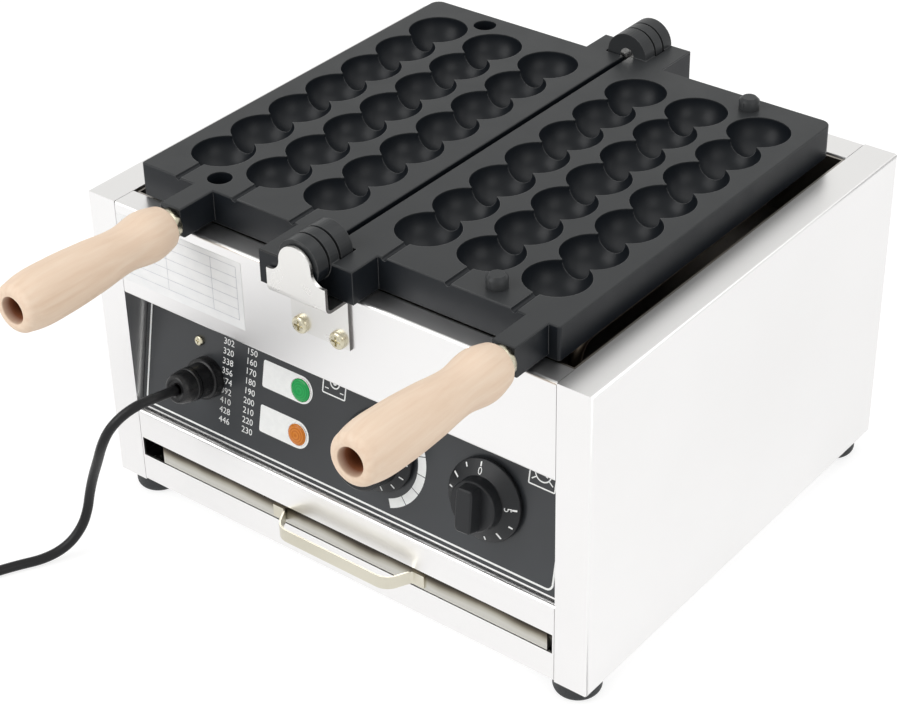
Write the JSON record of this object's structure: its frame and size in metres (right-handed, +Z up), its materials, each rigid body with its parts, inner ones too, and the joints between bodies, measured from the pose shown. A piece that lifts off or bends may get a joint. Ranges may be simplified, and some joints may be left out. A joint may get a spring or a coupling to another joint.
{
  "type": "bubble waffle maker",
  "caption": "Countertop cooker with two hinged cast plates of round hollows over a heated well, on a folded steel case with dials, lamps and a drip tray.",
  "frame": {"origin": "on the table, under the middle of the machine without its cord", "axes": "+X to the machine's right seen from the front, +Y to its back, +Z up"},
  "size_m": [0.4755, 0.6207, 0.2633],
  "materials": {
    "steel_case": "polished stainless sheet",
    "steel_inner": "plain galvanised sheet",
    "label_black": "satin printed film",
    "plate_coating": "satin non-stick coating on a casting",
    "rubber_black": "matt",
    "zinc": "zinc plated, slightly yellow",
    "steel_bright": "satin",
    "beech": "bare turned beech, fine sanded",
    "heater_steel": "heat-tinted steel tube",
    "knob_black": "fine satin moulding",
    "lens_green": "clear tinted lens",
    "lens_amber": "clear tinted lens",
    "plastic_black": "moulded",
    "control_grey": "moulded",
    "cord_black": "satin rubber sheath"
  },
  "bodies": {
    "case": {"base_plate": "steel_inner", "bracket_screws": "zinc", "case_screws": "steel_bright", "control_label": "label_black", "control_panel": "steel_case", "cord_coil": "cord_black", "cord_free": "cord_black", "corner_straps": "steel_inner", "foot_front_left": "rubber_black", "foot_front_right": "rubber_black", "foot_rear_left": "rubber_black", "foot_rear_right": "rubber_black", "foot_screws": "steel_bright", "front_apron": "steel_case", "gland_body": "plastic_black", "gland_nut": "plastic_black", "heat_tray": "steel_inner", "heater_left": "heater_steel", "heater_right": "heater_steel", "hinge_bracket_front": "steel_case", "hinge_bracket_rear": "steel_case", "hinge_pin_front": "steel_bright", "hinge_pin_rear": "steel_bright", "lamp_body_lower": "plastic_black", "lamp_body_upper": "plastic_black", "lamp_lens_amber": "lens_amber", "lamp_lens_green": "lens_green", "lower_frame": "steel_case", "panel_screw": "zinc", "plug": "plastic_black", "rear_panel": "steel_case", "side_panel_left": "steel_case", "side_panel_right": "steel_case", "terminal_block": "control_grey", "thermostat_body": "control_grey", "thermostat_bulb": "steel_bright", "timer_body": "control_grey", "tray_runner_left": "steel_inner", "tray_runner_right": "steel_inner", "wiring_shelf": "steel_inner"},
    "left_plate": {"plate_left": "plate_coating", "handle_left": "beech", "handle_rod_left": "steel_bright", "handle_collar_left": "zinc"},
    "right_plate": {"plate_right": "plate_coating", "handle_right": "beech", "handle_rod_right": "steel_bright", "handle_collar_right": "zinc", "locating_pins": "plate_coating"},
    "temperature_knob": {"knob_temperature": "knob_black"},
    "timer_knob": {"knob_timer": "knob_black"},
    "drip_tray_body": {"drip_tray": "steel_inner", "tray_handle": "steel_case"}
  },
  "joints": [
    {"name": "left_plate_hinge", "type": "hinge", "parent": "case", "child": "left_plate", "pos_m": [0, 0.06006, 0.2483], "axis": [0, 1, 0], "range_deg": [0, 180]},
    {"name": "right_plate_hinge", "type": "hinge", "parent": "case", "child": "right_plate", "pos_m": [0, 0.06006, 0.2483], "axis": [0, 1, 0], "range_deg": [-180, 0]},
    {"name": "temperature_dial", "type": "hinge", "parent": "case", "child": "temperature_knob", "pos_m": [0.029, -0.08998, 0.11474], "axis": [0, -0.9813, 0.1925], "range_deg": [-300, 0]},
    {"name": "timer_dial", "type": "hinge", "parent": "case", "child": "timer_knob", "pos_m": [0.1092, -0.08998, 0.11474], "axis": [0, -0.9813, 0.1925], "range_deg": [-300, 0]},
    {"name": "drip_tray_slide", "type": "slide", "parent": "case", "child": "drip_tray_body", "axis": [0, -1, 0], "range_m": [0, 0.25]}
  ]
}
